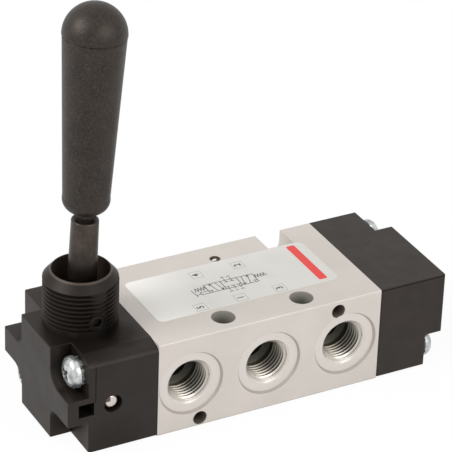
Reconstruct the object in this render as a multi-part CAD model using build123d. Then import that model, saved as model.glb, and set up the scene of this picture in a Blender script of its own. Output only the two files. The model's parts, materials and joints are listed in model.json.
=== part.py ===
from build123d import *
import math
import os

# Hand lever air valve: a spool valve with five threaded ports and three positions,
# worked by a lever that stands in a threaded collar. Millimetres, +Z up.
# The origin is the centre of the metal body's underside. +X runs along the spool
# towards the plain end cap, and the lever stands at the -X end.
# The ports 5, 1 and 3 open towards -Y, the ports 4 and 2 towards +Y.

# Driving dimensions of the metal body
body_length = 53.0
body_width = 32.0
body_height = 22.3
body_edge_round = 0.3
axis_drop = 0.05
end_lift = 0.3

# Ports, one pitch apart on each side, the back row half a pitch out of step
port_pitch = 18.5
port_row_x = -0.3
port_thread_radius = 4.864
port_floor_wall = 0.9
port_mouth_radius = 5.3
port_spotface_radius = 7.5
port_spotface_floor = 7.1
port_spotface_depth = 0.6
port_passage_radius = 3.0

# Spool bore and the ring chambers that the ports open into
bore_radius = 5.5
chamber_radius = 6.6
chamber_half_width = 1.75
bore_skin = 0.6

# Upright fixing holes, sideways fixing holes and the notch for a screw head
fixing_spacing = 18.7
fixing_x = 0.1
fixing_inset = 4.6
fixing_radius = 2.6
side_hole_radius = 1.6
side_hole_low_inset = 1.9
side_hole_high_inset = 2.55
side_hole_low_x = -16.5
side_hole_high_x = 16.05
notch_width = 6.3
notch_depth = 5.8
notch_reach = 6.35

# Drilled passage closed by a ball
plug_x = 0.3
plug_inset = 5.3
plug_radius = 1.2
plug_hole_depth = 5.0
plug_sink = 0.15

# Label plate on the top face
label_start_x = -22.45
label_end_x = 20.85
label_front_inset = 8.15
label_back_inset = 6.55
label_corner = 1.5
label_thickness = 0.15

# Screws that hold the two end pieces, two on one diagonal at each end
screw_radius = 2.0
screw_head_radius = 3.45
screw_head_height = 2.3
screw_head_round = 1.1
screw_spread = 0.347
screw_inset = 4.45
cap_screw_spread = 0.372
cap_screw_inset = 4.05
screw_engagement = 5.2
washer_thickness = 0.8
washer_radius = 3.4

# Operator housing at the lever end
housing_length = 15.9
housing_rise = 0.1
ear_block_length = 4.7
ear_beside_screw = 0.35
ear_below_screw = 0.6
ear_height = 6.1
ear_upper_curve = 4.0
ear_lower_curve = 2.2
shoulder_width = 3.9
shoulder_drop = 0.95
shoulder_round = 1.4
window_near_x = 14.7
window_far_x = 18.2
window_below_ear_top = 1.25
window_height = 3.0
window_depth = 5.5
seam_x = 14.5
seam_width = 0.25
seam_depth = 0.15
cavity_half_width = 4.6
cavity_below_yoke = 1.6
cavity_above_yoke = 1.4
cavity_end_wall = 3.1
cavity_corner = 1.2

# Collar, threaded outside for fixing in a panel, and the lever's pivot in it
lever_from_body = 10.35
collar_radius = 8.0
collar_above_pivot = 8.95
collar_opening_radius = 6.15
collar_rim = 0.15
collar_chamfer_height = 1.95
pivot_pin_radius = 0.95
pivot_pin_inset = 0.9

# Stop pin across the housing, seen in a counterbore on the front
stop_pin_radius = 1.5
stop_pin_inset = 0.8
stop_pin_dome = 0.5
stop_counterbore_radius = 2.05
stop_counterbore_depth = 2.4

# Lever, measured from the pivot along its own axis
lever_lean = 2.5
lever_throw = 13.0
ball_radius = 2.2
ball_above_pin = 1.0
lever_arm = 10.25
shank_neck_radius = 1.6
hub_radius = 5.9
hub_below = 4.5
hub_above = 4.2
rod_socket_radius = 2.0
rod_socket_depth = 2.0
rod_low_radius = 3.1
rod_top_radius = 2.9
rod_top = 20.4
rod_edge_round = 0.35
rod_recess_radius = 2.45
rod_recess_depth = 0.8
stud_radius = 1.6
stud_into_rod = 7.0
stud_into_handle = 13.0
handle_boss_start = 20.7
handle_boss_radius = 1.85
handle_neck_radius = 2.2
handle_bottom = 22.3
handle_bulge_radius = 4.3
handle_bulge = 23.3
handle_low = 25.8
handle_low_radius = 4.93
handle_seam = 61.8
handle_seam_radius = 6.55
handle_dome_radius = 6.66
handle_seam_groove = 0.35

# Spool, with one seal on each edge of the bridges between the chambers
spool_waist_radius = 2.8
spool_land_radius = 5.3
seal_bottom_radius = 3.9
seal_width = 1.3
land_cheek = 0.7
bridge_seal_inset = 0.75
end_seal_inset = 3.1
tail_radius = 2.5
tail_spigot_radius = 1.9
tail_spigot_length = 6.0
yoke_before_pin = 4.4
yoke_after_pin = 5.6
yoke_half_width = 3.9
yoke_below_axis = 3.9
yoke_above_ball = 1.5

# Centring springs and their seats
spring_seat_thickness = 1.2
right_seat_radius = 4.9
right_spring_radius = 3.8
right_spring_wire = 0.4
right_spring_turns = 4.5
left_seat_radius = 3.2
left_seat_thickness = 0.8
left_spring_radius = 2.5
left_spring_wire = 0.25
left_spring_turns = 3.5
left_pocket_wall = 0.6

# Plain end cap
cap_length = 11.95
cap_raised_length = 4.2
cap_beside_screw = 1.4
cap_below_screw = 0.5
cap_corner_curve = 2.2
cap_edge_round = 0.5
cap_pocket_wall = 5.6

# Gaskets behind the two end pieces
gasket_thickness = 0.8
gasket_band = 0.9
gasket_land = 0.5

# Clearances
seal_gap = 0.05
running_gap = 0.1
pin_gap = 0.05
seat_gap = 0.02
screw_gap = 0.15
slide_gap = 0.3

# Sizes worked out from those above
left_face = -body_length / 2
right_face = body_length / 2
front_face = -body_width / 2
back_face = body_width / 2
middle = body_height / 2
axis_height = middle - axis_drop
port_depth = body_width / 2 - chamber_radius - port_floor_wall
fixing_y = front_face + fixing_inset
plug_y = back_face - plug_inset
screw_y = body_width * screw_spread
screw_high = body_height - screw_inset
cap_screw_y = body_width * cap_screw_spread
cap_screw_high = body_height - cap_screw_inset
lever_x = left_face - lever_from_body
ball_height = axis_height + stop_pin_radius + ball_above_pin + ball_radius
pivot_height = ball_height + lever_arm
collar_top = pivot_height + collar_above_pivot
travel = lever_arm * math.radians(lever_throw)
yoke_bottom = axis_height - yoke_below_axis
yoke_top = ball_height + yoke_above_ball
cavity_floor = yoke_bottom - cavity_below_yoke
cavity_roof = yoke_top + cavity_above_yoke
housing_height = body_height + housing_rise
ear_half_gap = screw_y - screw_head_radius - ear_beside_screw
ear_top = screw_high - screw_head_radius - ear_below_screw
ear_bottom = ear_top - ear_height
window_high_z = ear_top - window_below_ear_top
window_low_z = window_high_z - window_height
cap_corner_y = cap_screw_y - screw_head_radius - cap_beside_screw
cap_corner_drop = cap_screw_inset + screw_head_radius + cap_below_screw
housing_end = left_face - housing_length
ear_end = housing_end - ear_block_length
cavity_end = ear_end + cavity_end_wall
cap_face = right_face + cap_length
cap_end = cap_face + cap_raised_length
chamber_step = port_pitch / 2
end_seal_x = body_length / 2 - end_seal_inset
spool_half = end_seal_x + seal_width / 2 + land_cheek
spool_start = port_row_x - spool_half
spool_end = port_row_x + spool_half
yoke_start = lever_x - yoke_before_pin
yoke_end = lever_x + yoke_after_pin
left_seat_x = yoke_start - left_seat_thickness
right_seat_x = spool_end + spring_seat_thickness
left_pocket_floor = ear_end + left_pocket_wall
right_pocket_floor = cap_end - cap_pocket_wall
nose_radius = bore_radius + running_gap
left_screws = [(-screw_y, screw_high), (screw_y, screw_inset)]
right_screws = [(cap_screw_y, cap_screw_high), (-cap_screw_y, cap_screw_inset)]


def block(x0, x1, y0, y1, z0, z1):
    """A box given by its two corners."""
    centre = Pos((x0 + x1) / 2, (y0 + y1) / 2, (z0 + z1) / 2)
    return centre * Box(x1 - x0, y1 - y0, z1 - z0)


def rod_x(x0, x1, y, z, radius):
    """A round bar along X."""
    bar = Cylinder(radius, x1 - x0, align=(Align.CENTER, Align.CENTER, Align.MIN))
    return Pos(x0, y, z) * Rot(0, 90, 0) * bar


def rod_y(y0, y1, x, z, radius):
    """A round bar along Y."""
    bar = Cylinder(radius, y1 - y0, align=(Align.CENTER, Align.CENTER, Align.MIN))
    return Pos(x, y0, z) * Rot(-90, 0, 0) * bar


def rod_z(z0, z1, x, y, radius):
    """A round bar along Z."""
    bar = Cylinder(radius, z1 - z0, align=(Align.CENTER, Align.CENTER, Align.MIN))
    return Pos(x, y, z0) * bar


def turned(points):
    """A solid turned about Z from (radius, height) points."""
    outline = Polyline(*[(radius, 0, height) for radius, height in points], close=True)
    return revolve(make_face(outline), Axis.Z)


def profile_along_x(points, x0, x1):
    """A (y, z) outline carried from x0 to x1."""
    outline = Polyline(*[(x0, y, z) for y, z in points], close=True)
    return extrude(make_face(outline), amount=x1 - x0, dir=(1, 0, 0))


def edges_at(solid, direction, places):
    """The edges along a direction whose middle lies at one of some (y, z) places."""
    found = []
    for edge in solid.edges().filter_by(direction):
        middle_point = edge.center()
        for y, z in places:
            if abs(middle_point.Y - y) < 0.01 and abs(middle_point.Z - z) < 0.01:
                found.append(edge)
    return found


def port_cutter(x, side):
    """Spotface, mouth, threaded wall and passage of one port, on the -Y or +Y side."""
    mouth_chamfer = port_mouth_radius - port_thread_radius
    passage_end = body_width / 2 - bore_radius - bore_skin
    cutter = turned([
        (0, -1),
        (port_spotface_radius, -1),
        (port_spotface_radius, 0),
        (port_spotface_floor, port_spotface_depth),
        (port_mouth_radius, port_spotface_depth),
        (port_thread_radius, port_spotface_depth + mouth_chamfer),
        (port_thread_radius, port_depth),
        (port_passage_radius, port_depth),
        (port_passage_radius, passage_end),
        (0, passage_end),
    ])
    return Pos(x, side * body_width / 2, axis_height) * Rot(90 * side, 0, 0) * cutter


def valve_body():
    """The extruded metal body with its bore, chambers, ports and holes."""
    body = block(left_face, right_face, front_face, back_face, 0, body_height)
    body = fillet(body.edges().filter_by(Axis.X), body_edge_round)
    body -= rod_x(left_face, right_face, 0, axis_height, bore_radius)
    for step in (-2, -1, 0, 1, 2):
        x = port_row_x + step * chamber_step
        body -= rod_x(x - chamber_half_width, x + chamber_half_width, 0, axis_height, chamber_radius)
        body -= port_cutter(x, -1 if step % 2 == 0 else 1)
    for side in (-1, 1):
        x = fixing_x + side * fixing_spacing / 2
        body -= rod_z(0, body_height, x, fixing_y, fixing_radius)
    high_z = body_height - side_hole_high_inset
    body -= rod_y(front_face, back_face, side_hole_low_x, side_hole_low_inset, side_hole_radius)
    body -= rod_y(front_face, back_face, side_hole_high_x, high_z, side_hole_radius)
    notch_radius = notch_width / 2
    notch_axis = body_height - notch_depth + notch_radius
    notch_start = back_face - notch_reach
    body -= rod_y(notch_start, back_face, side_hole_high_x, notch_axis, notch_radius)
    body -= block(side_hole_high_x - notch_radius, side_hole_high_x + notch_radius,
                  notch_start, back_face, notch_axis, body_height)
    body -= rod_z(body_height - plug_hole_depth, body_height, plug_x, plug_y, plug_radius)
    for y, z in left_screws:
        body -= rod_x(left_face, left_face + screw_engagement + slide_gap, y, z, screw_radius + seat_gap)
    for y, z in right_screws:
        body -= rod_x(right_face - screw_engagement - slide_gap, right_face, y, z, screw_radius + seat_gap)
    return body


def ear_block():
    """The outer end of the housing: a full-height middle with two ears, turned half round."""
    front = [(-ear_half_gap, ear_top), (front_face, ear_top), (front_face, ear_bottom), (-ear_half_gap, ear_bottom)]
    back = [(-y, body_height - z) for y, z in front]
    outline = [(-ear_half_gap, housing_height)] + front + [(-ear_half_gap, end_lift), (ear_half_gap, end_lift)]
    outline += back + [(ear_half_gap, housing_height)]
    ears = profile_along_x(outline, ear_end, housing_end)
    upper = [front[0], back[0]]
    lower = [front[3], back[3]]
    ears = fillet(edges_at(ears, Axis.X, upper), ear_upper_curve)
    ears = fillet(edges_at(ears, Axis.X, lower), ear_lower_curve)
    return ears


def housing_shell():
    """The housing's outside: main block with an eased front shoulder, ear block and collar."""
    shoulder_y = front_face + shoulder_width
    eased_z = housing_height - shoulder_drop
    main = profile_along_x([
        (front_face, end_lift),
        (back_face, end_lift),
        (back_face, housing_height),
        (shoulder_y, housing_height),
        (front_face, eased_z),
    ], housing_end, left_face)
    main = fillet(edges_at(main, Axis.X, [(front_face, eased_z)]), shoulder_round)
    chamfer_start = collar_top - collar_chamfer_height
    collar = turned([
        (0, middle),
        (collar_radius, middle),
        (collar_radius, chamfer_start),
        (collar_opening_radius + collar_rim, collar_top),
        (0, collar_top),
    ])
    return main + ear_block() + Pos(lever_x, 0, 0) * collar


def cavity():
    """The room for the yoke and the lever, open at the mating face and up the collar."""
    room = block(cavity_end, left_face, -cavity_half_width, cavity_half_width, cavity_floor, cavity_roof)
    room = fillet(room.edges().filter_by(Axis.X), cavity_corner)
    room += rod_z(cavity_roof - cavity_corner, collar_top, lever_x, 0, collar_opening_radius)
    nose_room = travel + land_cheek + slide_gap
    room += rod_x(left_face - nose_room, left_face, 0, axis_height, nose_radius)
    room += rod_x(left_pocket_floor, cavity_end, 0, axis_height, left_seat_radius + running_gap)
    return room


def gasket_frame(thickness):
    """The frame-shaped gasket that lies around the cavity's mouth."""
    inner_y = nose_radius + gasket_land
    inner_low = cavity_floor - gasket_land
    inner_high = cavity_roof + gasket_land
    outer = block(left_face - thickness, left_face, -inner_y - gasket_band, inner_y + gasket_band,
                  inner_low - gasket_band, inner_high + gasket_band)
    outer = fillet(outer.edges().filter_by(Axis.X), cavity_corner)
    inner = block(left_face - thickness, left_face, -inner_y, inner_y, inner_low, inner_high)
    return outer - inner


def operator_housing():
    """The moulded housing, hollow, with its windows, pin holes and screw holes."""
    housing = housing_shell() - cavity() - gasket_frame(gasket_thickness)
    for y, z in left_screws:
        housing -= rod_x(ear_end, left_face, y, z, screw_radius + screw_gap)
    window = block(left_face - window_far_x, left_face - window_near_x,
                   front_face, front_face + window_depth, window_low_z, window_high_z)
    half_turn = Pos(0, 0, middle) * Rot(180, 0, 0) * Pos(0, 0, -middle)
    housing -= window
    housing -= half_turn * window
    housing -= block(left_face - seam_x, left_face - seam_x + seam_width,
                     front_face, front_face + seam_depth, window_high_z, housing_height)
    housing -= rod_y(front_face, back_face, lever_x, axis_height, stop_pin_radius + seat_gap)
    for start in (front_face, back_face - stop_counterbore_depth):
        housing -= rod_y(start, start + stop_counterbore_depth, lever_x, axis_height, stop_counterbore_radius)
    housing -= rod_y(-collar_radius, collar_radius, lever_x, pivot_height, pivot_pin_radius + seat_gap)
    return housing


def end_cap():
    """The plain cap: a full block, and a raised part that leaves two corners for the screws."""
    cap = block(right_face, cap_end, front_face, back_face, end_lift, body_height)
    cap = fillet(cap.edges().filter_by(Axis.Z), cap_edge_round)
    corner = block(cap_face, cap_end, cap_corner_y, back_face, body_height - cap_corner_drop, body_height)
    inner_edge = edges_at(corner, Axis.X, [(cap_corner_y, body_height - cap_corner_drop)])
    corner = fillet(inner_edge, cap_corner_curve)
    cap -= corner
    cap -= Pos(0, 0, middle) * Rot(180, 0, 0) * Pos(0, 0, -middle) * corner
    cap -= rod_x(right_face, right_pocket_floor, 0, axis_height, nose_radius)
    cap -= cap_gasket()
    for y, z in right_screws:
        cap -= rod_x(right_face, cap_face, y, z, screw_radius + screw_gap)
    return cap


def cap_gasket():
    """The ring gasket behind the end cap."""
    inner = nose_radius + gasket_land
    ring = rod_x(right_face, right_face + gasket_thickness, 0, axis_height, inner + gasket_band)
    return ring - rod_x(right_face, right_face + gasket_thickness, 0, axis_height, inner)


def pan_screw(grip):
    """A pan-head screw along Z, its head above and the underside of the head at zero."""
    head = Cylinder(screw_head_radius, screw_head_height, align=(Align.CENTER, Align.CENTER, Align.MIN))
    head = fillet(head.edges().group_by(Axis.Z)[-1], screw_head_round)
    length = grip + screw_engagement
    shank = Cylinder(screw_radius, length, align=(Align.CENTER, Align.CENTER, Align.MAX))
    return head + shank


def lock_washer():
    """A washer along Z with its underside at zero."""
    ring = Cylinder(washer_radius, washer_thickness, align=(Align.CENTER, Align.CENTER, Align.MIN))
    hole = Cylinder(screw_radius + seat_gap, washer_thickness, align=(Align.CENTER, Align.CENTER, Align.MIN))
    return ring - hole


def end_fasteners(places, seat_x, outward, grip):
    """The two screws and the two washers of one end, as two groups of solids."""
    turn = Rot(0, 90 * outward, 0)
    screws = []
    washers = []
    for y, z in places:
        screws.append(Pos(seat_x + outward * washer_thickness, y, z) * turn * pan_screw(grip + washer_thickness))
        washers.append(Pos(seat_x, y, z) * turn * lock_washer())
    return Compound(screws), Compound(washers)


def seal_places():
    """Where the seals sit along the spool, counted from its middle."""
    near = chamber_step - chamber_half_width - bridge_seal_inset
    far = chamber_step + chamber_half_width + bridge_seal_inset
    return [-end_seal_x, -far, -near, near, far, end_seal_x]


def spool():
    """The turned spool: lands with seal grooves, joined by a slim waist."""
    piece = rod_x(spool_start, spool_end, 0, axis_height, spool_waist_radius)
    for place in seal_places():
        x = port_row_x + place
        reach = seal_width / 2 + land_cheek
        piece += rod_x(x - reach, x + reach, 0, axis_height, spool_land_radius)
        groove = rod_x(x - seal_width / 2, x + seal_width / 2, 0, axis_height, spool_land_radius + running_gap)
        groove -= rod_x(x - seal_width / 2, x + seal_width / 2, 0, axis_height, seal_bottom_radius)
        piece -= groove
    socket_end = spool_start + tail_spigot_length + slide_gap
    piece -= rod_x(spool_start, socket_end, 0, axis_height, tail_spigot_radius + seat_gap)
    return piece


def spool_seals():
    """Six rubber rings, one in each groove of the spool."""
    rings = []
    for place in seal_places():
        x = port_row_x + place
        ring = rod_x(x - seal_width / 2, x + seal_width / 2, 0, axis_height, bore_radius - seal_gap)
        ring -= rod_x(x - seal_width / 2, x + seal_width / 2, 0, axis_height, seal_bottom_radius)
        rings.append(ring)
    return Compound(rings)


def spool_yoke():
    """The tail of the spool: a bar with a slot for the lever's ball and a fork round the stop pin."""
    yoke = block(yoke_start, yoke_end, -yoke_half_width, yoke_half_width, yoke_bottom, yoke_top)
    yoke = chamfer(yoke.edges().filter_by(Axis.X), cavity_corner)
    ball_room = ball_radius + running_gap
    slot_floor = ball_height - ball_radius - running_gap
    yoke -= block(lever_x - ball_room, lever_x + ball_room, -yoke_half_width, yoke_half_width, slot_floor, yoke_top)
    fork_room = stop_pin_radius + pin_gap
    fork_end = lever_x + stop_pin_radius + travel + running_gap
    yoke -= block(yoke_start, fork_end, -yoke_half_width, yoke_half_width,
                  axis_height - fork_room, axis_height + fork_room)
    yoke += rod_x(yoke_end, spool_start, 0, axis_height, tail_radius)
    yoke += rod_x(spool_start, spool_start + tail_spigot_length, 0, axis_height, tail_spigot_radius)
    return yoke


def stop_pin():
    """The cross pin that keeps the yoke from turning and stops it at the end of its travel."""
    pin_end = body_width / 2 - stop_pin_inset
    pin = rod_y(-pin_end, pin_end, lever_x, axis_height, stop_pin_radius)
    return fillet(pin.edges().filter_by(GeomType.CIRCLE), stop_pin_dome)


def pivot_pin():
    """The pin across the collar that the lever turns on."""
    pin_end = collar_radius - pivot_pin_inset
    return rod_y(-pin_end, pin_end, lever_x, pivot_height, pivot_pin_radius)


def leaned(piece):
    """Puts a piece of the upper lever, drawn upright from the pivot, in its place."""
    return Pos(lever_x, 0, pivot_height) * Rot(0, lever_lean, 0) * piece


def lever_shank():
    """The lower lever: ball end, neck and the round hub on the pivot pin."""
    hub = Pos(lever_x, 0, pivot_height) * Sphere(hub_radius)
    low = pivot_height - hub_below
    hub -= rod_z(low - hub_radius, low, lever_x, 0, hub_radius)
    shank = hub + rod_z(ball_height, low, lever_x, 0, shank_neck_radius)
    shank += Pos(lever_x, 0, ball_height) * Sphere(ball_radius)
    shank -= leaned(rod_z(hub_above, hub_above + hub_radius, 0, 0, hub_radius))
    shank -= leaned(rod_z(hub_above - rod_socket_depth, hub_above, 0, 0, rod_socket_radius))
    shank -= rod_y(-hub_radius, hub_radius, lever_x, pivot_height, pivot_pin_radius + pin_gap)
    return shank


def lever_rod():
    """The metal rod, slightly tapered, dished at its top round the handle's stud."""
    rod = turned([
        (0, hub_above),
        (rod_low_radius, hub_above),
        (rod_top_radius, rod_top),
        (0, rod_top),
    ])
    rod = fillet(rod.edges().group_by(Axis.Z)[-1], rod_edge_round)
    rod += rod_z(hub_above - rod_socket_depth, hub_above, 0, 0, rod_socket_radius - seat_gap)
    rod -= turned([
        (0, rod_top - stud_into_rod),
        (stud_radius + seat_gap, rod_top - stud_into_rod),
        (stud_radius + seat_gap, rod_top - rod_recess_depth),
        (rod_recess_radius, rod_top),
        (0, rod_top),
    ])
    return leaned(rod)


def handle_stud():
    """The stud that joins the rod and the handle."""
    return leaned(rod_z(rod_top - stud_into_rod, handle_boss_start + stud_into_handle, 0, 0, stud_radius))


def lever_handle():
    """The moulded grip: rounded foot, cone that widens upwards, domed top."""
    boss = Polyline(
        (0, 0, handle_boss_start),
        (handle_boss_radius, 0, handle_boss_start),
        (handle_neck_radius, 0, handle_bottom),
    )
    foot = ThreePointArc(boss @ 1, (handle_bulge_radius, 0, handle_bulge), (handle_low_radius, 0, handle_low))
    side = Polyline(
        foot @ 1,
        (handle_seam_radius, 0, handle_seam - handle_seam_groove),
        (handle_seam_radius - handle_seam_groove / 2, 0, handle_seam - handle_seam_groove / 2),
        (handle_dome_radius, 0, handle_seam),
    )
    lift = handle_dome_radius * math.sin(math.radians(45))
    dome = ThreePointArc(side @ 1, (lift, 0, handle_seam + lift), (0, 0, handle_seam + handle_dome_radius))
    axis_line = Line(dome @ 1, boss @ 0)
    handle = revolve(make_face([boss, foot, side, dome, axis_line]), Axis.Z)
    hole_end = handle_boss_start + stud_into_handle
    handle -= rod_z(handle_boss_start, hole_end, 0, 0, stud_radius + seat_gap)
    return leaned(handle)


def coil_spring(x0, x1, radius, wire, turns):
    """A round-wire coil spring along X between two seats."""
    height = x1 - x0 - 2 * wire
    path = Helix(pitch=height / turns, height=height, radius=radius)
    section = Plane(origin=path @ 0, z_dir=path % 0) * Circle(wire)
    coil = sweep(section, path=path, is_frenet=True)
    return Pos(x0 + wire, 0, axis_height) * Rot(0, 90, 0) * coil


def label_plate():
    """The thin label on the top face."""
    plate = block(label_start_x, label_end_x, front_face + label_front_inset, back_face - label_back_inset,
                  body_height, body_height + label_thickness)
    return fillet(plate.edges().filter_by(Axis.Z), label_corner)


def passage_ball():
    """The ball pressed into the drilled passage."""
    radius = plug_radius - seat_gap
    return Pos(plug_x, plug_y, body_height - plug_sink - radius) * Sphere(radius)


def make_parts():
    """Every piece of the valve, by name."""
    operator_screws, operator_washers = end_fasteners(left_screws, housing_end, -1, housing_length)
    cap_screws, cap_washers = end_fasteners(right_screws, cap_face, 1, cap_length)
    left_spring = coil_spring(left_pocket_floor, left_seat_x, left_spring_radius, left_spring_wire,
                              left_spring_turns)
    right_spring = coil_spring(right_seat_x, right_pocket_floor, right_spring_radius, right_spring_wire,
                               right_spring_turns)
    return {
        "valve_body": valve_body(),
        "operator_housing": operator_housing(),
        "end_cap": end_cap(),
        "operator_gasket": gasket_frame(gasket_thickness),
        "end_cap_gasket": cap_gasket(),
        "operator_screws": operator_screws,
        "operator_washers": operator_washers,
        "end_cap_screws": cap_screws,
        "end_cap_washers": cap_washers,
        "spool": spool(),
        "spool_seals": spool_seals(),
        "spool_yoke": spool_yoke(),
        "stop_pin": stop_pin(),
        "pivot_pin": pivot_pin(),
        "lever_shank": lever_shank(),
        "lever_rod": lever_rod(),
        "handle_stud": handle_stud(),
        "lever_handle": lever_handle(),
        "left_spring_seat": rod_x(left_seat_x, yoke_start, 0, axis_height, left_seat_radius),
        "right_spring_seat": rod_x(spool_end, right_seat_x, 0, axis_height, right_seat_radius),
        "left_spring": left_spring,
        "right_spring": right_spring,
        "label_plate": label_plate(),
        "passage_ball": passage_ball(),
    }


os.makedirs("parts", exist_ok=True)
for name, piece in make_parts().items():
    export_step(piece, "parts/" + name + ".step")
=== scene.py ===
import json
import math

import bpy
from mathutils import Matrix, Vector

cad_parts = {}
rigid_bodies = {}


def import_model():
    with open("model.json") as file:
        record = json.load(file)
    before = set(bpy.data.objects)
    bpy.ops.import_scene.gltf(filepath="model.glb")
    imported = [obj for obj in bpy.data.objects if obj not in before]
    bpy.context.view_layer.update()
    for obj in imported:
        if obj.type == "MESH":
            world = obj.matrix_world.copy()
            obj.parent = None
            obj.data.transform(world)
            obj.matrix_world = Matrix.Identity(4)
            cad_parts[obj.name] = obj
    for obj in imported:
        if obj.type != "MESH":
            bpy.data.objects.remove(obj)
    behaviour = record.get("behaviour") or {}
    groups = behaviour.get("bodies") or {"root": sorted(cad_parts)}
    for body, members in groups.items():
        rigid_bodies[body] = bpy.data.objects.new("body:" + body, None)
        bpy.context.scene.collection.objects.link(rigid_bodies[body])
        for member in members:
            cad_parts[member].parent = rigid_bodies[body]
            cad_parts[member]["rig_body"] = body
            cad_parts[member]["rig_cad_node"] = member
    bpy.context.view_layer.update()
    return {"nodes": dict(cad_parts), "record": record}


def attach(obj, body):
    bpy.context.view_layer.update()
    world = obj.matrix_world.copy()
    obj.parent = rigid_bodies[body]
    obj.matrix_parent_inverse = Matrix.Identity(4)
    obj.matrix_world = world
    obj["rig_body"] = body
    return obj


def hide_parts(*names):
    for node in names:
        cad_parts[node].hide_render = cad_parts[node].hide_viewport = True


# Looks of the hand lever air valve. Lengths are in millimetres and become metres where a piece is made.
mm = 0.001

# Places nearer to each other than this are taken as one
touching = 0.01

# Places and sizes that the looks share with the solids
half_width = 16.0
body_top = 22.3
axis_height = 11.1
port_pitch = 18.5
port_row_x = -0.3
# each port's number, its place along the body and its side, -1 for the front
ports = [
    ("5", port_row_x - port_pitch, -1), ("1", port_row_x, -1), ("3", port_row_x + port_pitch, -1),
    ("4", port_row_x - port_pitch / 2, 1), ("2", port_row_x + port_pitch / 2, 1),
]
fixing_hole_x = 0.1
fixing_hole_y = -11.4
fixing_hole_step = 9.35
side_hole_places = [(-16.5, 1.9), (16.05, 19.75)]
lever_x = -36.85
lever_lean = 2.5
pivot_height = 26.05
label_top = 22.36
label_edges = (-22.45, 20.85, -7.85, 9.45)
# the end pieces: where they leave the body, how high their feet stand, their tops and their outer faces
end_joint = 26.6
end_foot = 0.3
housing_top = 22.4
housing_face = -42.4
ear_face = -47.1
cap_face = 42.65
# each end's name, the face its washers lie on, which way that face looks, and its screws' (y, z)
screw_seats = [
    ("operator", housing_face, -1, [(-11.1, 17.85), (11.1, 4.45)]),
    ("end_cap", 38.45, 1, [(11.9, 18.25), (-11.9, 4.05)]),
]
washer_height = 0.8


# Starting and finishing a piece


def deselect():
    """Nothing selected, so that an operator acts only on what is picked after it."""
    if bpy.context.object and bpy.context.object.mode != "OBJECT":
        bpy.ops.object.mode_set(mode="OBJECT")
    bpy.ops.object.select_all(action="DESELECT")


def pick(*pieces):
    """Selects these pieces only. The last one is the active piece."""
    deselect()
    for piece in pieces:
        piece.select_set(True)
    bpy.context.view_layer.objects.active = pieces[-1]
    return pieces[-1]


def metres(*lengths):
    """Millimetres to metres."""
    return tuple(length * mm for length in lengths)


def edit(piece, mode="VERT"):
    """Opens a piece for editing with everything selected."""
    pick(piece)
    bpy.ops.object.mode_set(mode="EDIT")
    bpy.ops.mesh.select_mode(type=mode)
    bpy.ops.mesh.select_all(action="SELECT")


def close_edit():
    """Ends the editing, with the faces pointing outwards."""
    bpy.ops.mesh.select_all(action="SELECT")
    bpy.ops.mesh.normals_make_consistent(inside=False)
    bpy.ops.object.mode_set(mode="OBJECT")


def settle(piece):
    """Puts a piece's place into its mesh."""
    pick(piece)
    bpy.ops.object.transform_apply(location=True, rotation=True, scale=True)
    return piece


def choose(piece, kind, wanted):
    """Selects the vertices, edges or faces that a test on their middle (in mm) accepts."""
    bpy.ops.mesh.select_mode(type=kind)
    bpy.ops.mesh.select_all(action="DESELECT")
    bpy.ops.object.mode_set(mode="OBJECT")
    mesh = piece.data
    if kind == "VERT":
        for vertex in mesh.vertices:
            vertex.select = wanted(vertex.co / mm)
    elif kind == "EDGE":
        for edge in mesh.edges:
            ends = [mesh.vertices[i].co / mm for i in edge.vertices]
            edge.select = wanted((ends[0] + ends[1]) / 2)
    else:
        for face in mesh.polygons:
            face.select = wanted(face.center / mm)
    bpy.ops.object.mode_set(mode="EDIT")


def soften(piece, angle=30):
    """Smooth shading with crisp edges past the angle."""
    pick(piece)
    bpy.ops.object.shade_smooth_by_angle(angle=math.radians(angle))
    return piece


def apply_modifier(piece, kind, **settings):
    """Adds one modifier and applies it."""
    pick(piece)
    modifier = piece.modifiers.new(kind.lower(), kind)
    for key, value in settings.items():
        setattr(modifier, key, value)
    bpy.ops.object.modifier_apply(modifier=modifier.name)


def cut(piece, cutter):
    """Takes the cutter's shape out of the piece and removes the cutter."""
    apply_modifier(piece, "BOOLEAN", operation="DIFFERENCE", solver="EXACT", object=cutter)
    bpy.data.objects.remove(cutter)


def steady_order(piece):
    """Puts a mesh in the same order each run, because a cut leaves it in any order and the bevel follows it."""
    cursor = bpy.context.scene.cursor
    cursor.location = (0.37, 0.61, 0.83)
    edit(piece)
    bpy.ops.mesh.sort_elements(type="CURSOR_DISTANCE", elements={"VERT", "EDGE", "FACE"})
    close_edit()
    cursor.location = (0, 0, 0)


def box(name, x0, x1, y0, y1, z0, z1):
    """A block between two corners."""
    deselect()
    middle = metres((x0 + x1) / 2, (y0 + y1) / 2, (z0 + z1) / 2)
    bpy.ops.mesh.primitive_cube_add(size=1, location=middle, scale=metres(x1 - x0, y1 - y0, z1 - z0))
    piece = bpy.context.object
    piece.name = name
    return settle(piece)


def turned(name, rings, sides=64):
    """A round piece about Z, raised ring by ring from (radius, height) pairs."""
    deselect()
    radius, height = rings[0]
    bpy.ops.mesh.primitive_circle_add(vertices=sides, radius=radius * mm, fill_type="NGON",
                                      location=metres(0, 0, height))
    piece = bpy.context.object
    piece.name = name
    settle(piece)
    edit(piece, "FACE")
    for next_radius, next_height in rings[1:]:
        bpy.ops.mesh.extrude_region_move(
            TRANSFORM_OT_translate={"value": metres(0, 0, next_height - height)})
        grow = next_radius / radius
        bpy.ops.transform.resize(value=(grow, grow, 1), center_override=(0, 0, next_height * mm))
        radius, height = next_radius, next_height
    close_edit()
    return piece


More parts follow.
